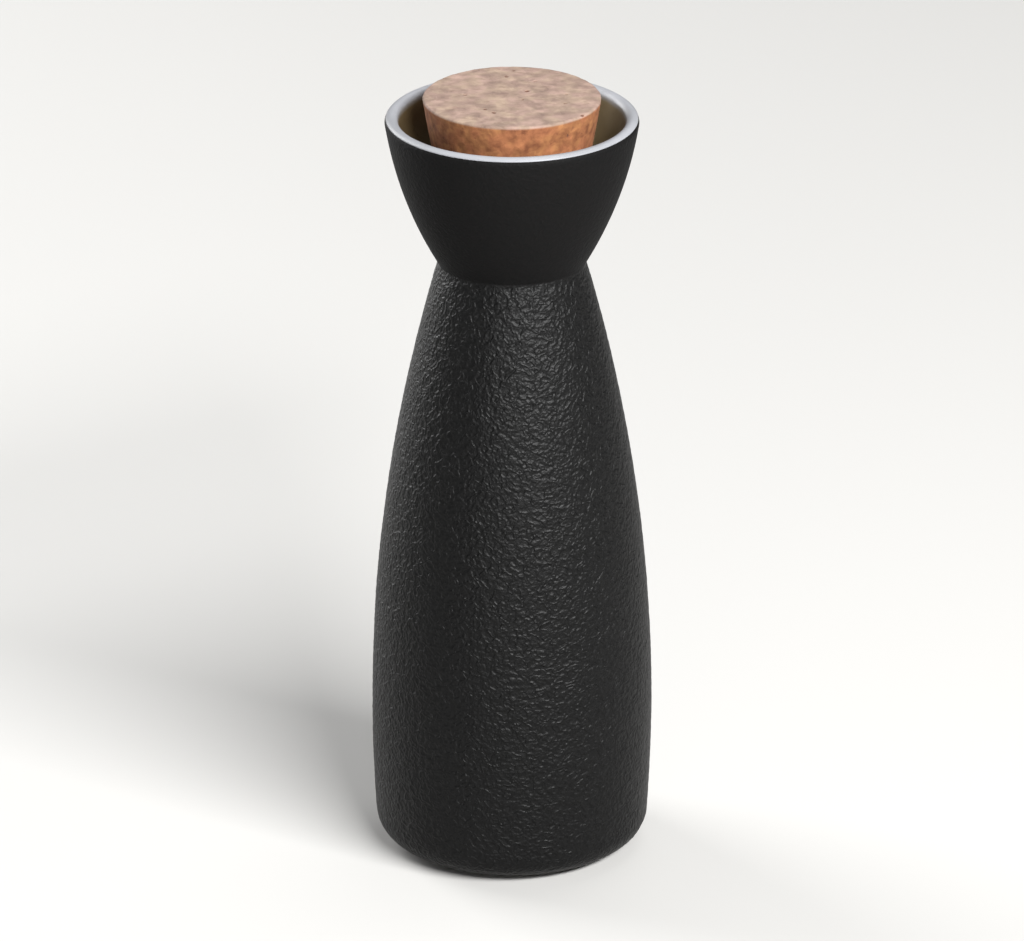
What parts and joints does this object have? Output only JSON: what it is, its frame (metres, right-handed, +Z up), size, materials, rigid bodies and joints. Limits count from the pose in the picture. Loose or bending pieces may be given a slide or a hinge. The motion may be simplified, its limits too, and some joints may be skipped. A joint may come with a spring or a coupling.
{
  "type": "sake bottle",
  "caption": "Slender stoneware sake bottle with a pinched waist, a wide funnel mouth and a tapered cork stopper that lifts out.",
  "frame": {"origin": "centre of the foot ring's resting face, on the plane that the bottle stands on", "axes": "+Z up along the bottle's axis of revolution; X and Y are arbitrary, since every piece is round about Z"},
  "size_m": [0.0598, 0.0598, 0.1692],
  "materials": {
    "fired_clay": "matte",
    "black_glaze": "satin",
    "pale_glaze": "satin",
    "cork": "matte"
  },
  "bodies": {
    "bottle": {"bottle_body": "fired_clay", "outer_glaze": "black_glaze", "liner_glaze": "pale_glaze"},
    "stopper": {"cork_stopper": "cork"}
  },
  "joints": [
    {"name": "stopper_lift", "type": "slide", "parent": "bottle", "child": "stopper", "axis": [0, 0, 1], "range_m": [0, 0.05]}
  ]
}
